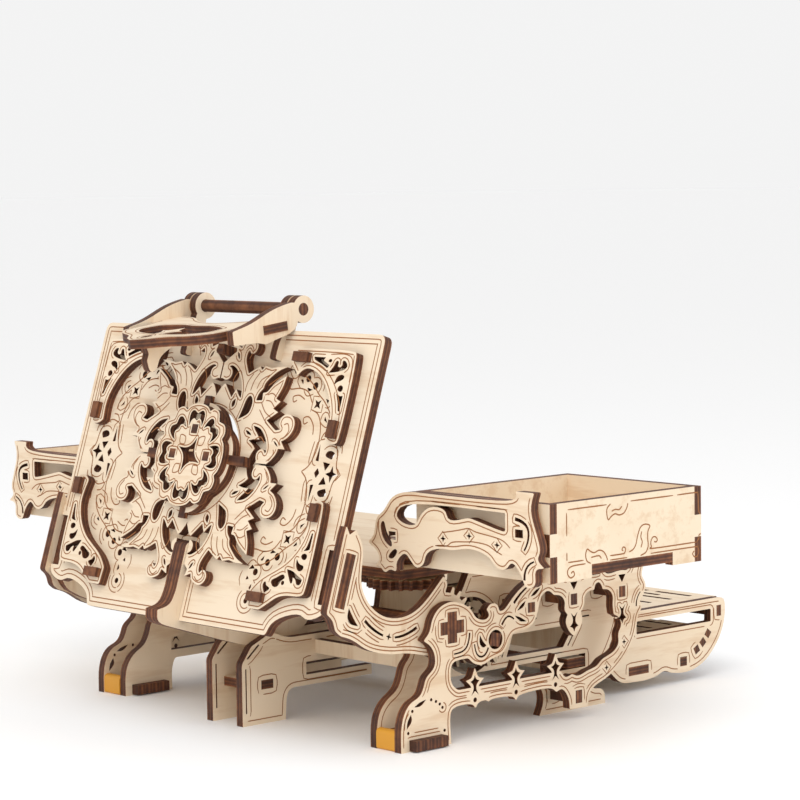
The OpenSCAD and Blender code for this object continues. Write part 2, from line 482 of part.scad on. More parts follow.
// Tenon boards that hang the lid plate between the arms, and the ends of the boards that hold the corner ornaments
corner_tenons = [[[33.4, 34.6], [36.4, 41.4]], [[10.4, 57.6], [15.8, 60.6]], [[-41.8, 38], [-38.8, 44.6]],
    [[-15.4, 57.8], [-10, 60.8]]];
module lid_tenons() color(burnt) lid_open() {
    both() brick([18.6, -arm_y[1], 78], [35.3, -lid_y + 4, 81.8]);
    for (t = corner_tenons) both() brick([lid_mid + t[0][0], t[0][1], plate_z + 2 * ply],
        [lid_mid + t[1][0], t[1][1], plate_z + 2 * ply + 2]);
}
module lid_fin() color(birch) lid_open() union() {
    plate_y(-ply, 2 * ply) difference() {
        shape([[4.5, 46], [4.5, 84, 1], [4.6, 90.6], [8.6, 91.6, 0.4], [11, 87], [16, 86.2, 1], [31, 86.2, 1.2], [32.2, 84, 0.8],
            [32.2, 82.6, 0], [32.2, 79.4, 0], [44, 79, 2], [43, 66], [38, 60], [28, 57], [22, 50], [25, 44], [29.5, 37],
            [26, 29.4], [18, 28.6], [12, 34], [8, 41, 4]]);
        translate(hinge) circle(r = hinge_r + run_gap, $fn = 48);
    }
}
// The raised corner ornaments, drawn about the middle of the lid for +Y: one at the latch side, one at the hinge side
module latch_side_corner() difference() {
    shape([[38, 33, 0.6], [38, 60.2], [36.6, 62.1], [10, 62.1], [8.6, 60.6], [9, 57.4], [10.2, 55.6, 0.6], [16.4, 56.2],
        [21.4, 54.4], [26.2, 51.2], [29.4, 47.6], [31.2, 44], [31.8, 40.6], [30.8, 38.2], [29.2, 36.8, 0.3], [31.4, 34.6, 0.5],
        [32.8, 33, 0.6]]);
    shape([[35.4, 42.6, 0.2], [35.4, 48, 0.3], [34.4, 47.2, 0.3], [33, 50.4, 0.3], [32, 49.6, 0.3], [33.2, 46.8], [34.4, 43]]);
    shape([[34, 49.2], [35.1, 50], [34.8, 51.2], [33.8, 51]]);
    shape([[30.6, 50.6, 0.2], [32.6, 52.4], [34.6, 53], [34.4, 54.4], [32.8, 54.2, 0.4], [32.4, 55.4], [33.2, 56.2, 0.4],
        [34.8, 55.8], [34.6, 57.4], [33.2, 58.6], [32.2, 58.2], [31.4, 56.4], [30.9, 53.8]]);
    shape([[26.8, 54.2, 0.2], [29, 54.6], [30, 55.4], [30.4, 57.2], [29.6, 58.6], [28.4, 57.4], [28, 55.6]]);
    shape([[25.8, 56], [27.2, 57.2], [26.6, 58.8], [25, 58.6], [24.9, 57.2]]);
    shape([[24.4, 56.2, 0.3], [23.6, 58.2, 0.3], [23.8, 59.4, 0.2], [18.8, 59.4, 0.2], [19, 58.6, 0.2], [21.6, 57.8]]);
}
module hinge_side_corner() difference() {
    shape([[-8.8, 57.4], [-8.8, 60.6], [-10.2, 62.2], [-36.4, 62.3], [-38.3, 60.6], [-38.3, 54], [-39.3, 49.8], [-41.6, 46.6],
        [-43.9, 43, 0.6], [-43.9, 37.4, 0.8], [-38.2, 36.8, 0.6], [-35.4, 39.2], [-33.2, 42.2], [-31, 46.4], [-28.6, 50.4],
        [-25.4, 53.6], [-21.4, 56], [-17, 57.2], [-10.4, 55.6, 0.6]]);
    shape([[-30.5, 51.8, 0.2], [-30.7, 54.4], [-32, 57.2], [-33, 59.6, 0.3], [-34.8, 59.2], [-34.9, 57.4], [-33.2, 56.6],
        [-32.7, 55.2, 0.4], [-34.2, 55.6], [-34.9, 54.8], [-33.2, 53.6], [-31.5, 52.4]]);
    shape([[-34.5, 45.4], [-33.5, 47.8], [-31.9, 50.6], [-33.2, 52], [-34.2, 50.4, 0.4], [-36.4, 49.2], [-36.4, 46.8]]);
    shape([[-35.6, 42.4], [-34.9, 43.4], [-36.2, 44, 0.4], [-37, 46.4], [-38.6, 43.8, 0.3], [-36.8, 42.4]]);
    dot([-34.8, 51.2], 0.7);
    shape([[-27, 55.2, 0.3], [-28.6, 56.8], [-28.8, 59.2], [-30.4, 58.8], [-30.8, 56.8], [-29.2, 55.4]]);
    shape([[-26, 56.6], [-25, 57.8], [-25.4, 59.6], [-27, 59.4], [-27.2, 57.8]]);
    shape([[-24.4, 57.4, 0.3], [-23, 58.6], [-18.8, 59.4, 0.2], [-18.8, 60, 0.2], [-23.8, 60, 0.3], [-24.2, 58.9, 0.3]]);
}
module lid_corners() color(birch) lid_open() plate_z(plate_z + ply) translate([lid_mid, 0]) both_2d() {
    latch_side_corner();
    hinge_side_corner();
}

medal = [58.4, 0];
// From the pointed side volute round the two leaves to the small volute on the hinge and latch sides
medal_quarter = [
    [0.35, 31.4, 0.2], [1.8, 33.4], [3.8, 35], [5.4, 35.3, 0.3], [5.4, 38.4, 0.2], [7.8, 35.9, 0.3],
    [8.8, 38.4], [11.6, 40.6], [14.6, 40.3], [16.3, 38.2], [16.4, 35.2], [15, 33.4], [12.8, 33.2], [11.5, 34.6, 0.4],
    [11, 32.2, 0.4], [14, 27, 0.3], [16.8, 31.5, 0.2], [17.8, 28.8, 0.3], [20.2, 31.6, 0.2], [21, 29.2, 0.3], [24.6, 31.2],
    [28.4, 31.8, 0.2], [27, 29.3], [25, 26], [22.8, 24.4], [22.6, 22.4, 0.5], [20.2, 22.8, 0.4], [20, 19.8, 0.5],
    [22.4, 20.4], [24, 22.2, 0.4], [25.8, 22.4], [27.8, 24.6], [30, 27.6], [31.2, 31.2, 0.2], [31.2, 27], [30.6, 24.2, 0.3],
    [31.2, 21, 0.2], [29.8, 19.4, 0.3], [31, 18.4, 0.2], [30, 16.2], [28.4, 13.4, 0.4], [30.4, 12], [32.8, 10.6], [35, 10.6],
    [36, 11.4, 0.4], [34.6, 12.6], [35.2, 14.6], [37.4, 15.4], [39.4, 13.8], [39.8, 11.6], [39, 9.2], [38.2, 8],
    [36.4, 7.4, 0.4], [37.6, 4.6, 0.2], [35.2, 5.2, 0.3], [34.4, 4], [33.2, 2.4], [31.6, 0.5, 0.3]];
// The open spaces between the middle flame and the two curls that meet in front of it
module flame_space_x() shape([[20.4, 12.2, 0.2], [23.4, 11.9], [26.8, 10.3], [29.6, 7.6], [30.9, 4.8], [30.4, 3.2, 0.4],
    [29.6, 5], [27.8, 5.5], [26.3, 4.6], [25.8, 2.6], [26.6, 0.8], [26, -0.2, 0.2], [20.6, -0.2, 0.1], [22.4, 1], [24, 2],
    [24.8, 3.2, 0.2], [23.6, 4.4], [22, 6], [20.4, 7.6, 0.2], [22, 8.4], [23.2, 9.2, 0.2], [22, 10.2], [20.8, 11.4]]);
module flame_space_y() shape([[12, 21.4, 0.2], [11.4, 25.2], [8.6, 28.4], [5.2, 30.2], [3.4, 29.8, 0.4], [4.8, 28.6],
    [4.8, 26.8], [3.4, 25.6], [1.6, 25.8], [0.8, 26.6], [-0.2, 26, 0.2], [-0.2, 21.8, 0.1], [1.4, 22.6], [3.2, 23.2],
    [4.8, 24.4, 0.2], [6, 23], [7.2, 20.6, 0.2], [7.8, 23], [7.8, 25.6, 0.2], [9.4, 24.2], [10.6, 22.6]]);
module medallion_2d() difference() {
    shape(four_ways(medal_quarter));
    circle(r = 17.4, $fn = 64);
    quarters() {
        flame_space_x();
        flame_space_y();
        shape([[13.6, 13.2, 0.2], [14.8, 16], [15.8, 17.8], [18.4, 18.6], [20.8, 18], [21.6, 16.4], [20.2, 15], [17.2, 14.4]]);
        shape([[9.2, 19.2, 0.2], [10.6, 17.8], [9.9, 20.4], [8.8, 21.4, 0.2]]);
        shape([[17.2, 8.8, 0.2], [18, 10.2], [20.2, 9.9, 0.2], [19, 8.2]]);
        shape([[5.9, 35, 0.2], [7.2, 34], [7.8, 32.4, 0.2], [6.6, 33.4]]);
        shape([[35.2, 5.8, 0.2], [34.6, 7], [32.8, 7.6, 0.2], [33.4, 6.4]]);
        box2([25, -0.2], [32, 0.3]);
        box2([-0.2, 25], [0.3, 32]);
    }
    box2([-medal[0], -3.2], [33 - medal[0], 3.2]);
}
module lid_medallion() color(birch) lid_open() plate_z(plate_z + ply) translate(medal) medallion_2d();
// A round-petalled collar under the rosette
module collar_2d() polygon([for (a = [0:5:355]) let (wide = pow(cos(2 * a), 2), scallop = abs(sin(4 * a + 22.5)))
    (15.6 + 2 * wide + 0.9 * scallop) * [cos(a), sin(a)]]);
module lid_collar() color(birch_dark) lid_open() difference() {
    plate_z(plate_z + 2 * ply) translate(medal) difference() {
        collar_2d();
        circle(r = 7.6, $fn = 48);
    }
    translate([medal[0], medal[1], bar_z]) for (a = [0, 90]) rotate(a) translate([-24, -1.5, 0]) cube([48, 3, 3]);
}
// The boards lie half sunk in the collar
bar_z = plate_z + 2.5 * ply;
rosette_z = plate_z + 3 * ply;
module rosette_2d() difference() {
    shape(round_about([[14.4, -5.8, 0.3], [16, -4.2], [16.8, 0], [16, 4.2], [14.4, 5.8, 0.3], [15.5, 7.6], [14.6, 10.4],
        [12.2, 11], [11.3, 11.3, 0.2], [11, 12.2], [10.4, 14.6], [7.6, 15.5]], 4));
    for (a = [0:45:315]) rotate(a) shape([[9.2, 3.1, 0.2], [11.4, 3.7], [13.6, 3.6], [14.6, 2.2], [13.7, 0.6], [13.4, 0],
        [13.7, -0.6], [14.6, -2.2], [13.6, -3.6], [11.4, -3.7], [9.2, -3.1, 0.2], [11.2, -2.5], [11.9, -1.2], [11.2, -0.3],
        [11.2, 0.3], [11.9, 1.2], [11.2, 2.5]]);
    shape(round_about([[5.8, -2.4, 0.2], [3.4, -0.8], [2.3, 1.2], [2.1, 3.4]], 4));
    for (t = rosette_tenons) translate(t) square([3, 3], center = true);
}
rosette_tenons = [[8.4, 0], [0, 8.4], [0, -8.4]];
module lid_rosette() color(birch) lid_open() plate_z(rosette_z, 2.5) translate(medal) rosette_2d();
// Two crossed boards on edge that carry the rosette, their tenons flush with its face, and one more board's end
module rosette_bars() color(burnt) lid_open() translate([medal[0], medal[1], 0]) union() {
    brick([-19.8, -1.5, bar_z], [19.8, 1.5, rosette_z]);
    brick([-1.5, -24, bar_z], [1.5, 24, rosette_z]);
    for (s = [0, 1]) mirror([0, s, 0]) brick([-1.5, 18.8, plate_z + 2 * ply], [1.5, 24, rosette_z]);
    for (t = rosette_tenons) brick([t[0] - 1.5, t[1] - 1.5, rosette_z - 0.5], [t[0] + 1.5, t[1] + 1.5, rosette_z + 2.5]);
    brick([34, -1.5, plate_z + ply], [37, 1.5, plate_z + 2 * ply + 2.6]);
}
// ---- latch ----------------------------------------------------------------------------------

latch_axle_r = 2;
latch_arm_y = [latch_y - 1.5, latch_y + 1.5];
module latch_ears() color(birch) lid_open() both() plate_y(-latch_arm_y[0] + 0.5) difference() {
    union() {
        shape([[92, plate_z + ply, 0], [92, 85, 1], [97, 85], [99.6, 84.2], [104.5, 84.2], [107, 83.8, 0], [107, 80, 0],
            [102.2, 79.6, 0], [102.2, plate_z + ply, 0]]);
        translate(latch_pivot) circle(r = 4.3, $fn = 48);
    }
    translate(latch_pivot) circle(r = latch_axle_r + run_gap, $fn = 48);
}
module latch_axle() color(burnt) latch_open() rod_y(latch_pivot, latch_axle_r, -latch_arm_y[1], latch_arm_y[1]);
latch_tenon_z = [64.3, 73.8];
module latch_arms() color(birch) latch_open() both() plate_y(-latch_arm_y[1]) difference() {
    union() {
        shape([[106.3, 79], [113.4, 79], [116, 75], [116.6, 70], [117.6, 64.6, 0.5], [116.4, 61], [116, 52, 0.5],
            [111.6, 52, 0.5], [110.4, 60], [107.6, 68], [106.6, 74]]);
        translate(latch_pivot) circle(r = 4.3, $fn = 48);
    }
    translate(latch_pivot) circle(r = latch_axle_r, $fn = 48);
    box2([latch_panel_x, latch_tenon_z[0]], [latch_panel_x + ply, latch_tenon_z[1]]);
}
latch_panel_x = 111.7;
// Its side tenons pass through the arms
module latch_panel() color(birch) latch_open() union() {
    plate_x(latch_panel_x) difference() {
        shape([[-24.5, 74, 0], [-24.5, 62, 0], [-22.4, 57], [-23, 49], [-17, 43], [-9, 40.6], [-5, 36], [0, 33.4, 0.6],
            [5, 36], [9, 40.6], [17, 43], [23, 49], [22.4, 57], [24.5, 62, 0], [24.5, 74, 0], [16, 73], [9, 67.4], [0, 64.6],
            [-9, 67.4], [-16, 73]]);
        difference() {
            shape([[-16, 58, 1], [-17.6, 51], [-12, 46], [-5, 44.6, 1], [5, 44.6, 1], [12, 46], [17.6, 51], [16, 58, 1],
                [8, 61], [0, 59.4], [-8, 61]]);
            shape([[-2, 44, 0], [2, 44, 0], [2, 47.4], [4.8, 50.4, 0.3], [2.2, 50.8], [0, 55.6, 0.3], [-2.2, 50.8],
                [-4.8, 50.4, 0.3], [-2, 47.4]]);
        }
        shape([[0, 37.4, 0.4], [1.8, 40], [0, 42.6, 0.4], [-1.8, 40]]);
    }
    for (s = [-1, 1]) translate([0, s * 26, 0]) brick([latch_panel_x, -1.9, latch_tenon_z[0]],
        [latch_panel_x + ply, 1.9, latch_tenon_z[1]]);
}
module latch_foot() color(birch) latch_open() plate_y(-1.5) shape([[latch_panel_x + ply, 50, 0], [115.8, 50, 0.5], [118.4, 43],
    [122.6, 41.4], [123, 38.6], [119, 38, 0.4], [117, 39, 0.4], [latch_panel_x + ply, 38.4, 0]]);

// ---- trays ----------------------------------------------------------------------------------

wall_top = tray_z + tray_h;
bracket_y = [69.6, 72.6];
// Floor and arm in one board, drawn shut on the near side
module tray_floor() color(birch) tray_open() plate_z(tray_floor_z) difference() {
    union() {
        box2([tray_x[0] + ply, -tray_y[1] + ply], [tray_x[1] - ply, -tray_y[0] - ply]);
        box2([60, floor_tab_y[0]], [tray_x[1], floor_tab_y[1]]);
        shape([[66, -43, 0], [38, -41], [25, -39], [17, -51], [25, -62.5], [38, -63], [66, -63, 0]]);
    }
    translate([tray_pivot[0], -tray_pivot[1]]) square(4, center = true);
}
end_tab_z = [63.6, 70.3];
floor_tab_y = [-50.5, -15];
// Three walls; the end wall meets the long ones in a finger joint
module tray_walls() color(birch) tray_open() difference() {
    brick([tray_x[0], -tray_y[1], tray_z], [tray_x[1], -tray_y[0], wall_top]);
    brick([tray_x[0] + ply, -tray_y[1] + ply, tray_z - 1], [tray_x[1] + 1, -tray_y[0] - ply, wall_top + 1]);
    brick([tray_x[1] - ply, -tray_y[1] - 1, end_tab_z[0]], [tray_x[1] + 1, -tray_y[0] + 1, end_tab_z[1]]);
    brick([tray_x[0] - 1, -63.2, tray_z - 1], [tray_x[0] + ply + 1, -40.6, tray_floor_z + ply + 0.1]);
}
module tray_end() color(birch) tray_open() plate_x(tray_x[1] - ply) difference() {
    union() {
        box2([-tray_y[1] + ply, tray_z], [-tray_y[0] - ply, wall_top]);
        box2([-tray_y[1], end_tab_z[0]], [-tray_y[0], end_tab_z[1]]);
    }
    box2([floor_tab_y[0], tray_z - 1], [floor_tab_y[1], tray_floor_z + ply]);
}
module bracket_2d() difference() {
    shape([[32.6, 62.4, 0.8], [35.6, 65], [36.2, 70.4], [40, 72.6], [43.4, 77.4], [50, 79.4], [60, 79.2], [92, 79.2],
        [97, 80.6], [96.4, 82.6, 0.5], [103.8, 82.6, 0.6], [102, 77.6], [104.6, 71], [106.4, 66], [104.6, 63.4], [107.6, 61.2, 0.5],
        [103.6, 60.6], [104.4, 55.6], [100, 54.4], [98.4, 58.6], [94.6, 62.4], [92, 59], [87.8, 59.6], [85, 63], [77, 64.6],
        [70, 63], [64, 63.4], [58.4, 61.6], [57.4, 57.6], [54, 56.2], [51.6, 58.4], [49, 61], [45, 57.6], [45.4, 54.2],
        [42.4, 55.2], [40, 53.4], [37.8, 55.8], [35.6, 55.4, 0.5], [38, 57.6], [36.6, 60.4]]);
    shape([[44.6, 72], [50, 76.4], [92, 76, 0.5], [92, 70.4, 1], [88, 71], [77, 73.4, 1.5], [68, 71.4], [67, 75.4], [60, 75.6],
        [56, 72.6], [54, 69], [48, 69.4]]);
    box2([42, 64.2], [45, 66.6]);
    box2([96, 69.2], [99.2, 71.6]);
    for (p = [[65.8, 66.3], [76.9, 68], [88.5, 66.3]]) star(p, 1.2);
    slit([[96, 74.6], [101, 74], [101.8, 68.6], [99.6, 65.6]], 1.1, 0.6);
    slit([[99.6, 57], [99.4, 61.4], [103.6, 62.8]], 0.9, 0.5);
    shape([[38, 68.6], [39.2, 64], [43, 61.4], [43.6, 63.2], [40.8, 66.4], [40, 70]]);
    shape([[41, 58.6], [43.6, 58], [46, 60.6], [44.6, 61.8]]);
}
module tray_bracket() color(birch) tray_open() union() {
    plate_y(-bracket_y[1]) bracket_2d();
    brick([95.6, -bracket_y[0], 68.8], [99.6, -tray_y[1], 72]);
    brick([60, -bracket_y[0], 76.6], [88, -tray_y[1], 78.8]);
}
// Gear, shaft and key that turn the tray
module tray_pivot_post() color(birch_dark) tray_open() union() {
    plate_z(carriage_z) translate([tray_pivot[0], -tray_pivot[1]]) gear2(tray_teeth, 90);
    rod_z([tray_pivot[0], -tray_pivot[1]], 3, carriage_z, tray_floor_z);
    translate([tray_pivot[0] - 2, -tray_pivot[1] - 2, tray_floor_z]) cube([4, 4, ply]);
}

outer_side();  // outer_side_near
far() outer_side();  // outer_side_far
inner_side();  // inner_side_near
far() inner_side();  // inner_side_far
beam();  // beam_near
far() beam();  // beam_far
beam_spacer();
beam_ties();
deck();
deck_posts();
panel_spacers();
rear_foot_spacers();
foot_bars();
foot_plugs();
hinge_axle();
idler_axle();
idler_pinions();
idler_wheels();
carriage_fork();
carriage_rails();
step_axle();
step_pinion();
step_wheel();
drawer_side();  // drawer_side_near
far() drawer_side();  // drawer_side_far
drawer_floor();
drawer_cross_bar();
drawer_front();
drawer_back_slats();
ring_plate_upper();
ring_plate_lower();
drawer_rack();
drawer_rack_bracket();
lid_plate();
lid_arm();  // lid_arm_near
far() lid_arm();  // lid_arm_far
lid_arm_liner();  // lid_arm_liner_near
far() lid_arm_liner();  // lid_arm_liner_far
lid_tenons();
lid_fin();
lid_corners();
lid_medallion();
lid_collar();
lid_rosette();
rosette_bars();
latch_ears();
latch_axle();
latch_arms();
latch_panel();
latch_foot();
tray_floor();  // tray_floor_near
tray_walls();  // tray_walls_near
tray_end();  // tray_end_near
tray_bracket();  // tray_bracket_near
tray_pivot_post();  // tray_pivot_near
far() tray_floor();  // tray_floor_far
far() tray_walls();  // tray_walls_far
far() tray_end();  // tray_end_far
far() tray_bracket();  // tray_bracket_far
far() tray_pivot_post();  // tray_pivot_far
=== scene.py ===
"""The plywood puzzle box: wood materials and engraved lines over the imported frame, on a pale floor."""

import math

import bpy
import numpy as np
from mathutils import Matrix, Vector


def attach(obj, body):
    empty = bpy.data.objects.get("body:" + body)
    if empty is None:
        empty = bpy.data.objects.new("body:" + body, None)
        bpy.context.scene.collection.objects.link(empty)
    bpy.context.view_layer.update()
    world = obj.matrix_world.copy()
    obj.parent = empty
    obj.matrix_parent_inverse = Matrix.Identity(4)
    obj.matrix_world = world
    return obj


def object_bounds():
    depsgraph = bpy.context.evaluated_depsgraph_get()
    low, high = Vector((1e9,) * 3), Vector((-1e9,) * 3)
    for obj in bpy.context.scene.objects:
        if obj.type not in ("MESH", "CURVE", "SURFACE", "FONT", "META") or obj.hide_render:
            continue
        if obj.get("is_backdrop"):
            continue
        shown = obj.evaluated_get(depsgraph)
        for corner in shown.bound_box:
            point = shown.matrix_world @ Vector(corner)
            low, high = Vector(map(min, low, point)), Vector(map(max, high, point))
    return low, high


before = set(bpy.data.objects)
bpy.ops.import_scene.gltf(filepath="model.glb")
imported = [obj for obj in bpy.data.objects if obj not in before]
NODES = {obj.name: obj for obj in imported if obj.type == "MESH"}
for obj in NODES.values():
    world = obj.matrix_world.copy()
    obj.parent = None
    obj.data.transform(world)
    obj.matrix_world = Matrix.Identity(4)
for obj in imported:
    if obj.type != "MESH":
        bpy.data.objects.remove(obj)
MM = 0.001
PLY = 3  # thickness of every sheet, in mm like the sizes below
BACK = 65  # from the front feet to the origin
HINGE = (22, 0, 35.9)
LATCH_PIVOT = (109.3, 0, 81.3)
TRAY_PIVOT = (26, 51)
LID_SWING, TRAY_SWING, LATCH_SWING = 72, 90, 205  # degrees from shut to open
PLATE_Z = 79.5  # underside of the shut lid
LID_MID, MEDAL_X = 58, 58.4  # middle of the lid plate and of the medallion
ROSETTE_TOP = PLATE_Z + 3 * PLY + 2.5
TRAY_END_X, BRACKET_Y = 105.5, 72.6  # outer faces of a shut tray's end wall and bracket


def write_bounds(key, sizes={}):
    lo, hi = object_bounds()
    sizes[key] = [list(lo), list(hi)]


write_bounds("loaded")

# ---- places: drawn shut, in mm, then moved to the open rest pose ----------------------------


def turn(at, degrees, axis):
    there = Matrix.Translation(Vector(at))
    return there @ Matrix.Rotation(math.radians(degrees), 4, axis) @ there.inverted()


BASE = Matrix.Scale(MM, 4) @ Matrix.Translation((-BACK, 0, 0))
LID = BASE @ turn(HINGE, -LID_SWING, "Y")
LATCH = LID @ turn(LATCH_PIVOT, -LATCH_SWING, "Y")
NEAR_TRAY = BASE @ turn((TRAY_PIVOT[0], -TRAY_PIVOT[1], 0), -TRAY_SWING, "Z")
FAR_TRAY = BASE @ turn((*TRAY_PIVOT, 0), TRAY_SWING, "Z")
SIDES = (("near", -1), ("far", 1))  # with the direction along Y in which each faces outwards

# ---- materials ------------------------------------------------------------------------------


class Nodes:
    """A node material being built: add() makes a shader node with named values, and link() joins sockets."""

    def __init__(self, name):
        self.mat = bpy.data.materials.new(name)
        self.mat.use_nodes = True
        self.tree = self.mat.node_tree
        self.shader = self.tree.nodes["Principled BSDF"]

    def add(self, kind, **values):
        node = self.tree.nodes.new("ShaderNode" + kind)
        for key, value in values.items():
            if hasattr(node, key):
                setattr(node, key, value)
            else:
                node.inputs[key.replace("_", " ")].default_value = value
        return node

    def link(self, a, b):
        self.tree.links.new(a, b)

    def multiply(self, a, b, factor):
        mix = self.add("Mix", data_type="RGBA", blend_type="MULTIPLY")
        mix.inputs["Factor"].default_value = factor
        self.link(a, mix.inputs[6])
        self.link(b, mix.inputs[7])
        return mix.outputs[2]

    def ramp(self, fac, stops):
        node = self.add("ValToRGB")
        elements = node.color_ramp.elements
        while len(elements) < len(stops):
            elements.new(0.5)
        for element, (at, colour) in zip(elements, stops):
            element.position = at
            element.color = (*colour, 1)
        self.link(fac, node.inputs["Fac"])
        return node.outputs["Color"]


def rgb(r, g, b):
    """A linear colour from one seen on a screen."""
    return tuple(((c / 255 + 0.055) / 1.055) ** 2.4 if c > 10 else c / 255 / 12.92 for c in (r, g, b))


def face_wood(name, light, dark, grain):
    """A sanded veneer face: long soft grain along the axis with the smallest grain number, and fine pores."""
    m = Nodes(name)
    at = m.add("TexCoord")
    mapping = m.add("Mapping")
    mapping.inputs["Scale"].default_value = grain
    m.link(at.outputs["Object"], mapping.inputs["Vector"])
    broad = m.add("TexNoise", Scale=26.0, Detail=3.0, Roughness=0.55)
    fine = m.add("TexNoise", Scale=190.0, Detail=4.0, Roughness=0.7)
    m.link(mapping.outputs["Vector"], broad.inputs["Vector"])
    m.link(mapping.outputs["Vector"], fine.inputs["Vector"])
    base = m.ramp(broad.outputs["Fac"], [(0.3, dark), (0.52, light), (0.75, dark)])
    pores = m.ramp(fine.outputs["Fac"], [(0.36, rgb(214, 180, 140)), (0.5, (1, 1, 1))])
    m.link(m.multiply(base, pores, 0.3), m.shader.inputs["Base Color"])
    bump = m.add("Bump", Strength=0.12, Distance=0.0002)
    m.link(fine.outputs["Fac"], bump.inputs["Height"])
    m.link(bump.outputs["Normal"], m.shader.inputs["Normal"])
    m.shader.inputs["Roughness"].default_value = 0.62
    return m.mat


# Browned plies through a sheet's thickness, from one face to the other
PLIES = [
    (0.0, rgb(150, 96, 58)), (0.14, rgb(112, 64, 36)), (0.34, rgb(84, 46, 26)), (0.42, rgb(122, 74, 43)),
    (0.5, rgb(128, 80, 47)), (0.58, rgb(90, 50, 28)), (0.68, rgb(80, 43, 24)), (0.86, rgb(118, 68, 38)),
    (1.0, rgb(158, 104, 64))]


def edge_wood(name, across, offset):
    """A laser-cut edge: browned plies as stripes across a sheet that starts offset mm along across."""
    m = Nodes(name)
    at = m.add("TexCoord")
    dot = m.add("VectorMath", operation="DOT_PRODUCT")
    dot.inputs[1].default_value = tuple(c / (PLY * MM) for c in across)
    m.link(at.outputs["Object"], dot.inputs[0])
    shift = m.add("Math", operation="SUBTRACT")
    shift.inputs[1].default_value = offset / PLY
    m.link(dot.outputs["Value"], shift.inputs[0])
    fract = m.add("Math", operation="FRACT")
    m.link(shift.outputs[0], fract.inputs[0])
    plies = m.ramp(fract.outputs[0], PLIES)
    streak = m.add("TexNoise", Scale=420.0, Detail=2.0, Roughness=0.6)
    patch = m.add("TexNoise", Scale=55.0, Detail=2.0, Roughness=0.5)
    m.link(at.outputs["Object"], streak.inputs["Vector"])
    m.link(at.outputs["Object"], patch.inputs["Vector"])
    streaks = m.ramp(streak.outputs["Fac"], [(0.35, rgb(190, 178, 170)), (0.6, (1, 1, 1))])
    patches = m.ramp(patch.outputs["Fac"], [(0.38, rgb(186, 176, 168)), (0.62, rgb(255, 250, 240))])
    m.link(m.multiply(m.multiply(plies, streaks, 0.8), patches, 0.9), m.shader.inputs["Base Color"])
    m.shader.inputs["Roughness"].default_value = 0.7
    return m.mat


LIGHT, SHADE = rgb(233, 213, 186), rgb(225, 202, 171)
FACES = {
    "x": face_wood("birch_x", LIGHT, SHADE, (0.12, 1, 1)),
    "y": face_wood("birch_y", LIGHT, SHADE, (1, 0.12, 1)),
    "z": face_wood("birch_z", LIGHT, SHADE, (1, 1, 0.12)),
    "lid": face_wood("birch_lid", rgb(235, 216, 190), rgb(228, 207, 178), (1, 0.1, 1)),
    "tray": face_wood("birch_tray", rgb(233, 214, 187), rgb(226, 204, 174), (1, 0.12, 1)),
    # The mechanism inside the box: the same birch darkened all over as painted shade
    "gear": face_wood("birch_gear", rgb(206, 188, 160), rgb(192, 172, 142), (1, 1, 0.2)),
}


def plain(name, colour, rough):
    m = Nodes(name)
    m.shader.inputs["Base Color"].default_value = (*colour, 1)
    m.shader.inputs["Roughness"].default_value = rough
    return m


AMBER = plain("amber", rgb(214, 150, 36), 0.45).mat
LINE = plain("engraved", rgb(150, 96, 52), 0.8).mat

edge_cache = {}


def edge_for(across, offset):
    key = (tuple(round(c, 3) for c in across), round(offset % PLY, 2))
    if key not in edge_cache:
        edge_cache[key] = edge_wood(f"edge_{len(edge_cache)}", across, offset)
    return edge_cache[key]


def paint(obj, face, across, offset=None):
    """Veneer on the polygons that face along across, browned edge on the others."""
    n = Vector(across).normalized()
    mesh = obj.data
    if offset is None:
        offset = min(v.co.dot(n) for v in mesh.vertices) / MM
    mesh.materials.clear()
    mesh.materials.append(FACES[face])
    mesh.materials.append(edge_for(n, offset))
    for p in mesh.polygons:
        p.material_index = 0 if abs(p.normal.dot(n)) > 0.7 else 1


def paint_all(obj, material):
    obj.data.materials.clear()
    obj.data.materials.append(material)


X, Y, Z = (1, 0, 0), (0, 1, 0), (0, 0, 1)
LID_UP = tuple((LID.to_3x3() @ Vector(Z)).normalized())
PANEL_OUT = tuple((LATCH.to_3x3() @ Vector(X)).normalized())
BRACKET_SHEET = -60.6  # where the open brackets' sheets start along X
END_GRAIN_Y = 0.126  # the side walls' ends lie further out than this, in metres
for side in ("near", "far"):
    for name in ("outer_side", "inner_side", "beam", "drawer_side"):
        paint(NODES[f"{name}_{side}"], "x", Y)
    for name in ("lid_arm", "lid_arm_liner"):
        paint(NODES[f"{name}_{side}"], "z", Y)
    paint(NODES[f"tray_bracket_{side}"], "y", X, BRACKET_SHEET)
    paint(NODES[f"tray_end_{side}"], "tray", Y)
    paint(NODES[f"tray_floor_{side}"], "tray", Z)
    paint(NODES[f"tray_pivot_{side}"], "gear", Z)
for name in ("deck", "drawer_floor", "ring_plate_upper", "ring_plate_lower", "drawer_cross_bar", "beam_spacer"):
    paint(NODES[name], "y", Z)
# These mechanism parts, like the tray pivots above, take the birch darkened as painted shade
for name in ("carriage_fork", "step_pinion", "step_wheel", "drawer_rack"):
    paint(NODES[name], "gear", Z)
for name in ("idler_pinions", "idler_wheels", "carriage_rails"):
    paint(NODES[name], "gear", Y)
for name in ("drawer_front", "drawer_rack_bracket", "beam_ties"):
    paint(NODES[name], "z", X)
for name in ("lid_plate", "lid_corners", "lid_medallion", "lid_collar", "lid_rosette"):
    paint(NODES[name], "lid", LID_UP)
for name in ("lid_fin", "latch_ears", "latch_arms", "latch_foot"):
    paint(NODES[name], "z", Y)
paint(NODES["latch_panel"], "lid", PANEL_OUT)
for name in (
    "deck_posts", "panel_spacers", "rear_foot_spacers", "foot_bars", "hinge_axle", "idler_axle", "step_axle",
    "rosette_bars", "latch_axle", "drawer_back_slats",
):
    paint_all(NODES[name], edge_for(X, 0.4))
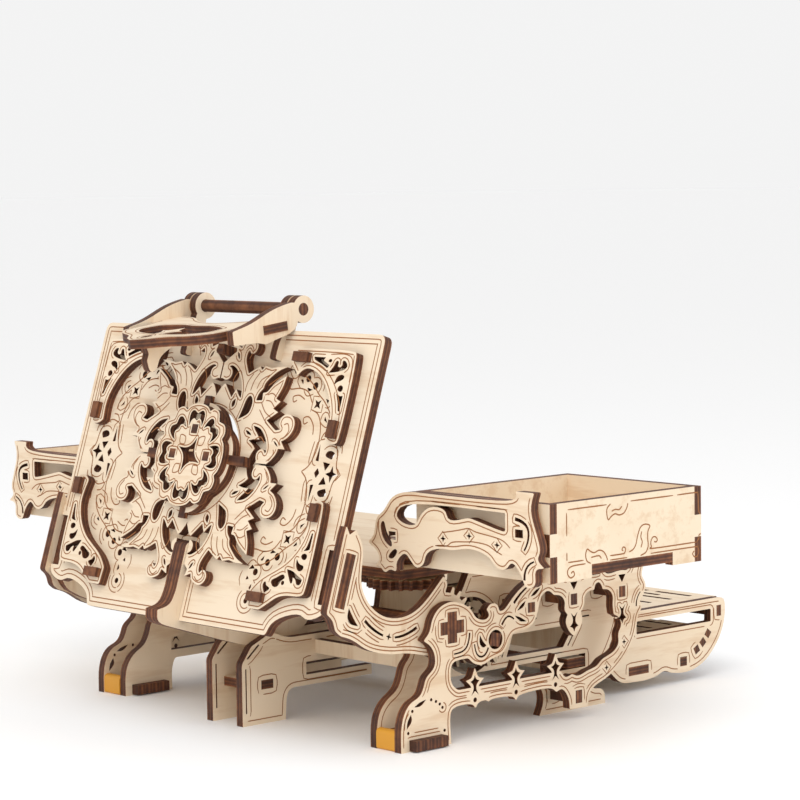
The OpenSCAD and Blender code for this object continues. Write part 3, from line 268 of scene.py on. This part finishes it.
paint_all(NODES["lid_tenons"], edge_for(LID_UP, 0.2))
paint_all(NODES["foot_plugs"], AMBER)
for side in ("near", "far"):
    mesh = NODES[f"tray_walls_{side}"].data
    mesh.materials.clear()
    mesh.materials.append(FACES["tray"])
    mesh.materials.append(edge_for(X, 1.0))
    for p in mesh.polygons:
        rim = abs(p.normal.z) > 0.7
        end_grain = abs(p.normal.y) > 0.7 and abs(p.center.y) > END_GRAIN_Y
        p.material_index = 1 if rim or end_grain else 0

# ---- engraved lines -------------------------------------------------------------------------

BOLD, THIN = 0.4, 0.35  # widths of engraved lines
LIFT = 0.04  # how far they lie proud of the face
TAPER = 0.55  # width of a line's ends, as a share of the rest
STEPS = 5  # pieces of a smooth line between two of its points
SAMPLE = 0.7  # spacing of points along an outline
JUMP = 2.5  # a border breaks where its points lie further apart
SHORTEST = 5  # shorter stretches of border are left out


class Engraving:
    """Thin browned lines lying on flat faces, gathered into one piece that rides on a body."""

    def __init__(self, name, body):
        self.name, self.body, self.points, self.faces = name, body, [], []

    def line(self, path, up, width):
        """A ribbon along a path of points in metres, on a face whose outward direction is up."""
        if len(path) < 2:
            return
        first, half, lift = len(self.points), width * MM / 2, up * LIFT * MM
        for i, at in enumerate(path):
            along = path[min(i + 1, len(path) - 1)] - path[max(i - 1, 0)]
            side = up.cross(along).normalized() * half * (TAPER if i in (0, len(path) - 1) else 1)
            self.points += [at + side + lift, at - side + lift]
        for i in range(len(path) - 1):
            a = first + 2 * i
            self.faces.append((a, a + 1, a + 3, a + 2))

    def stroke(self, place, matrix, up, points, width, closed=False):
        """A smooth line through listed points; place turns each into a point of the shut box in mm."""
        pts = [Vector(place(*q)) for q in points]
        if closed:
            pts.append(pts[0])
        path = []
        for i in range(len(pts) - 1):
            a, b = pts[max(i - 1, 0)], pts[min(i + 2, len(pts) - 1)]
            p, q = pts[i], pts[i + 1]
            for k in range(STEPS):
                t = k / STEPS
                straight = 2 * p + (q - a) * t
                bend = (2 * a - 5 * p + 4 * q - b) * t * t + (3 * p - a - 3 * q + b) * t**3
                path.append(0.5 * (straight + bend))
        path.append(pts[-1])
        self.line([matrix @ v for v in path], (matrix.to_3x3() @ Vector(up)).normalized(), width)

    def border(self, obj, up, inset):
        """Lines that follow every outline of the outermost face towards up, inset mm inside it."""
        up = Vector(up).normalized()
        mesh = obj.data
        level = max(v.co.dot(up) for v in mesh.vertices)
        key = {v.index: tuple(round(c * 1e6) for c in v.co) for v in mesh.vertices}
        place, edges = {}, set()
        for p in mesh.polygons:
            if p.normal.dot(up) < 0.99 or level - p.center.dot(up) > 0.0004:
                continue
            ring = [key[i] for i in p.vertices]
            for i, a in zip(p.vertices, ring):
                place[a] = mesh.vertices[i].co.copy()
            edges |= {(a, b) for a, b in zip(ring, ring[1:] + ring[:1]) if a != b}
        after = {a: b for a, b in edges if (b, a) not in edges}
        loops = []
        while after:
            start, b = after.popitem()
            loop = [start]
            while b in after:
                loop.append(b)
                b = after.pop(b)
            loops.append([place[a] for a in loop])
        samples = []
        for loop in loops:
            dense = []
            for a, b in zip(loop, loop[1:] + loop[:1]):
                n = max(1, round((b - a).length / (SAMPLE * MM)))
                dense += [a.lerp(b, i / n) for i in range(n)]
            samples.append(dense)
        cloud = np.array([v for dense in samples for v in dense])
        for dense in samples:
            along = [(b - a).normalized() for a, b in zip(dense[-1:] + dense[:-1], dense[1:] + dense[:1])]
            moved = [at + up.cross(way) * inset * MM for at, way in zip(dense, along)]
            clear = [np.min(np.sum((cloud - np.array(v)) ** 2, axis=1)) > (0.9 * inset * MM) ** 2 for v in moved]
            run, runs = [], []
            for v, ok in zip(moved, clear):
                if ok and (not run or (v - run[-1]).length < JUMP * MM):
                    run.append(v)
                else:
                    runs.append(run)
                    run = [v] if ok else []
            runs.append(run)
            for run in runs:
                if sum((b - a).length for a, b in zip(run, run[1:])) > SHORTEST * MM:
                    self.line(run, up, THIN)

    def finish(self):
        """Makes the piece, with the engraved material, and hangs it on its body."""
        mesh = bpy.data.meshes.new(self.name)
        mesh.from_pydata([tuple(v) for v in self.points], [], self.faces)
        mesh.materials.append(LINE)
        obj = bpy.data.objects.new(self.name, mesh)
        bpy.context.scene.collection.objects.link(obj)
        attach(obj, self.body)


DOUBLE = (1, 2.1)  # insets of the two lines round the outer panels and the arms
lid_lines = Engraving("lid_engraving", "lid")
for name, inset in (
    ("lid_plate", 1.5), ("lid_plate", 3), ("lid_corners", 0.9), ("lid_medallion", 0.8), ("lid_rosette", 0.7),
):
    lid_lines.border(NODES[name], LID_UP, inset)
for side, out in SIDES:
    for inset in DOUBLE:
        lid_lines.border(NODES[f"lid_arm_{side}"], (0, out, 0), inset)


def on_lid(layer, sx, sy):
    """Places points about the middle of the lid, on top of that many layers, mirrored by the signs."""
    return lambda u, v: (LID_MID + sx * u, sy * v, PLATE_Z + PLY * layer)


PETAL = [(4.6, 0), (6.4, 1.5), (8.6, 0), (6.4, -1.5)]
# Veins of the medallion's leaves and scrolls, for one quarter
VEINS = [
    [(9, 36.5), (11.5, 38.4), (13.8, 37.4), (13.4, 35.6)],
    [(12.6, 28.5), (14.4, 26), (17.6, 22.5)],
    [(15.4, 28.6), (17, 25.4), (20, 22.6)],
    [(18.6, 29.4), (20.4, 27), (20.6, 24.6)],
    [(22, 29.2), (23, 27), (22.4, 24.8)],
    [(25.4, 24.4), (27.4, 27.4), (28.8, 30)],
    [(24, 19), (27, 20.4), (29, 24.5)],
    [(23.4, 16.2), (26.6, 17), (29.4, 19)],
    [(22.8, 13.6), (26, 14), (29, 16)],
    [(33.6, 12.2), (36.4, 13.4), (38, 11.4), (36.8, 9.4)],
    [(1.6, 32), (4, 33.6), (5.4, 33.2)],
    [(23.6, 7.8), (26.6, 6.8), (29.6, 9), (27.6, 10.8)],
    [(8, 23.4), (9, 26), (7.2, 28.4)],
]
# Scrolls on the plate round the medallion, for one quarter
BAND = [
    [(0, 45), (2.5, 48), (8, 49.8), (14, 49.2), (18, 46.8), (19.4, 43.2)],
    [(21.6, 42.8), (24.8, 40), (25.8, 36), (25.4, 31.6), (26.8, 30)],
    [(0, 62), (2.6, 60.2), (6, 59.6), (9, 58), (11, 54.4), (10.4, 50.8), (12.6, 51.8), (13, 54)],
    [(14.6, 53.4), (18.4, 52.2), (22, 48.6), (24.4, 45), (27.4, 41.4), (29.8, 36.8), (30.4, 33)],
    [(11.6, 46.4), (14.6, 45.6), (17, 43), (16.6, 40.6), (14.8, 41.2), (15.4, 42.8)],
    [(22.4, 39.2), (23.6, 36.2), (23, 33.6), (21.4, 34.2), (22, 35.6)],
    [(6.6, 61.4), (10, 60.4), (13.4, 57), (16, 56.4)],
]
# Two long curves on each corner ornament at the latch side
TURNS = [
    [(14.4, 60.2), (20, 59.2), (25.6, 55.8), (30.2, 51), (33, 45.6), (33.6, 40), (32, 37.4)],
    [(36.4, 50), (36.6, 57), (34.6, 60.4), (28, 60.9)],
]
for sy in (-1, 1):
    for sx in (-1, 1):
        for path in VEINS:
            lid_lines.stroke(on_lid(2, sx, sy), LID, Z, path, THIN)
        for path in BAND:
            lid_lines.stroke(on_lid(1, sx, sy), LID, Z, path, BOLD)
    for path in TURNS:
        lid_lines.stroke(on_lid(2, 1, sy), LID, Z, path, THIN)
for k in range(4):
    spin = Matrix.Rotation(math.radians(45 + 90 * k), 4, "Z")
    middle = LID @ Matrix.Translation((MEDAL_X, 0, ROSETTE_TOP)) @ spin
    lid_lines.stroke(lambda u, v: (u, v, 0), middle, Z, PETAL, THIN, closed=True)
lid_lines.finish()

base_lines = Engraving("base_engraving", "base")
for side, out in SIDES:
    for inset in DOUBLE:
        base_lines.border(NODES[f"outer_side_{side}"], (0, out, 0), inset)
    base_lines.border(NODES[f"inner_side_{side}"], (0, out, 0), 1.6)
    base_lines.border(NODES[f"beam_{side}"], (0, out, 0), 1.6)
base_lines.finish()
latch_lines = Engraving("latch_engraving", "latch")
latch_lines.border(NODES["latch_panel"], PANEL_OUT, 1)
latch_lines.border(NODES["latch_panel"], tuple(-c for c in PANEL_OUT), 1)
latch_lines.finish()
drawer_lines = Engraving("drawer_engraving", "drawer")
for side, out in SIDES:
    drawer_lines.border(NODES[f"drawer_side_{side}"], (0, out, 0), 1.4)
drawer_lines.finish()

# The border of a shut tray's end wall, as distance from the middle of the box and height
END_BORDER = [
    [(60.5, 76.9), (44, 76.9)],
    [(33.6, 77.1), (14.7, 77.1)],
    [(12.9, 77.1), (4, 77.1), (3.4, 76.5), (3.1, 71.5), (2.4, 70.4)],
    [(61, 76), (61, 69.2)],
    [(61, 64.4), (61, 62)],
    [(60.5, 61.5), (54, 61.5)],
]
# Scrolls and leaves along its foot, and one leaf at its top
END_SCROLLS = [
    [(53.2, 60.4), (58.5, 60.3), (60.5, 59.5), (60.7, 58), (59.4, 56.9), (57.9, 57.6), (58.4, 58.7), (59.3, 58.2)],
    [(51, 60.3), (52.6, 61.2), (53.1, 63), (52.4, 64.6), (51, 63.8), (49.4, 63.3), (47.4, 63.8), (45.5, 63.2),
        (44.2, 61.6), (43.8, 60.4)],
    [(50.8, 62), (48.7, 62.2), (47.2, 62.1), (46.4, 61.2)],
    [(42.7, 61.7), (37.4, 61.7), (36.3, 62), (36, 63.2), (36.9, 63.7), (37.5, 63), (36.9, 62.6)],
    [(42.7, 60.4), (35.2, 60.4)],
    [(34.4, 62), (32.6, 62.6), (31.4, 64), (30.6, 66.5), (29.4, 68.8), (27.5, 69.6), (25.2, 69), (26, 67.5),
        (26.2, 65.5), (26, 63), (27, 61.2), (29.4, 60.4)],
    [(28.8, 67.6), (29.2, 66), (28.6, 64.4), (29.2, 62.8)],
    [(4, 62), (23.5, 62), (24.5, 62.6), (24.8, 64), (24, 65.3), (22.8, 65.4), (21.9, 64.5), (22.5, 63.8), (23.3, 64.1)],
    [(4, 62.2), (3.1, 63), (3, 64), (2.2, 64.4)],
    [(24.9, 60.6), (5, 60.6), (3.6, 60.3), (3.2, 59), (3.9, 57.7), (5.2, 57.6), (6, 58.6), (5.2, 59.4)],
    [(42.3, 77), (43.8, 75.8), (43.9, 74), (43.3, 72.4), (42, 73.3), (40.4, 73.9), (38.6, 73.4), (36.6, 73.8),
        (35.3, 75.2), (34.8, 76.6)],
    [(41.8, 74.8), (40.2, 75.2), (38.6, 75), (37.4, 75.9)],
]
# Lines on a shut tray's bracket, as X and height
BRACKET_LINES = [
    [(61, 77), (73.3, 77)],
    [(80.1, 77), (93, 77)],
    [(44.4, 71.3), (46.7, 74.6), (51.4, 76.1)],
    [(65.6, 68.1), (72.2, 69.3), (76.7, 70.2), (80, 69.4), (90, 68.1), (93.9, 65.9)],
    [(62.8, 63.9), (67.2, 64.2), (70, 65.6), (76.1, 66.2), (79, 66.4), (84.4, 66), (87.8, 64.6), (90.6, 63.6)],
]
for (side, out), matrix in zip(SIDES, (NEAR_TRAY, FAR_TRAY)):
    tray_lines = Engraving(f"tray_engraving_{side}", f"{side}_tray")
    for path in END_BORDER + END_SCROLLS:
        tray_lines.stroke(lambda y, z: (TRAY_END_X, out * y, z), matrix, X, path, BOLD)
    for path in BRACKET_LINES:
        tray_lines.stroke(lambda x, z: (x, out * BRACKET_Y, z), matrix, (0, out, 0), path, THIN)
    tray_lines.border(NODES[f"tray_bracket_{side}"], (-1, 0, 0), 1)
    tray_lines.finish()

# ---- stage ----------------------------------------------------------------------------------

FLOOR = 40  # half the width of the floor, in metres
m = plain("floor", (1, 1, 1), 0.9)
m.shader.inputs["Specular IOR Level"].default_value = 0.1
mesh = bpy.data.meshes.new("floor")
mesh.from_pydata([(-FLOOR, -FLOOR, 0), (FLOOR, -FLOOR, 0), (FLOOR, FLOOR, 0), (-FLOOR, FLOOR, 0)], [], [(0, 1, 2, 3)])
mesh.materials.append(m.mat)
floor = bpy.data.objects.new("floor", mesh)
bpy.context.scene.collection.objects.link(floor)
floor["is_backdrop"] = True

world = bpy.data.worlds.new("studio")
world.use_nodes = True
world.node_tree.nodes["Background"].inputs["Color"].default_value = (1, 1, 1, 1)
world.node_tree.nodes["Background"].inputs["Strength"].default_value = 0.9
bpy.context.scene.world = world
bpy.context.scene.view_settings.view_transform = "Standard"


AIM = (0, 0, 0.05)


def area_light(name, at, size, power):
    data = bpy.data.lights.new(name, "AREA")
    data.size = size
    data.energy = power
    obj = bpy.data.objects.new(name, data)
    obj.location = at
    obj.rotation_euler = (Vector(AIM) - Vector(at)).to_track_quat("-Z", "Y").to_euler()
    bpy.context.scene.collection.objects.link(obj)


area_light("key", (-0.7, -0.5, 0.8), 0.7, 4.5)
area_light("fill", (0.5, -0.9, 0.35), 0.8, 1.6)

# ---- camera ---------------------------------------------------------------------------------

data = bpy.data.cameras.new("camera")
data.sensor_width = 36
data.lens = 124.9
data.clip_start = 0.05
data.clip_end = 100
camera = bpy.data.objects.new("camera", data)
bpy.context.scene.collection.objects.link(camera)
camera.location = (-0.6262, -0.6836, 0.1717)
azimuth, elevation, roll = (math.radians(a) for a in (47.2, -4.46, -0.78))
level = math.cos(elevation)
look = Vector((level * math.cos(azimuth), level * math.sin(azimuth), math.sin(elevation)))
camera.rotation_euler = (look.to_track_quat("-Z", "Y").to_matrix() @ Matrix.Rotation(roll, 3, "Z")).to_euler()
bpy.context.scene.camera = camera

write_bounds("finished")
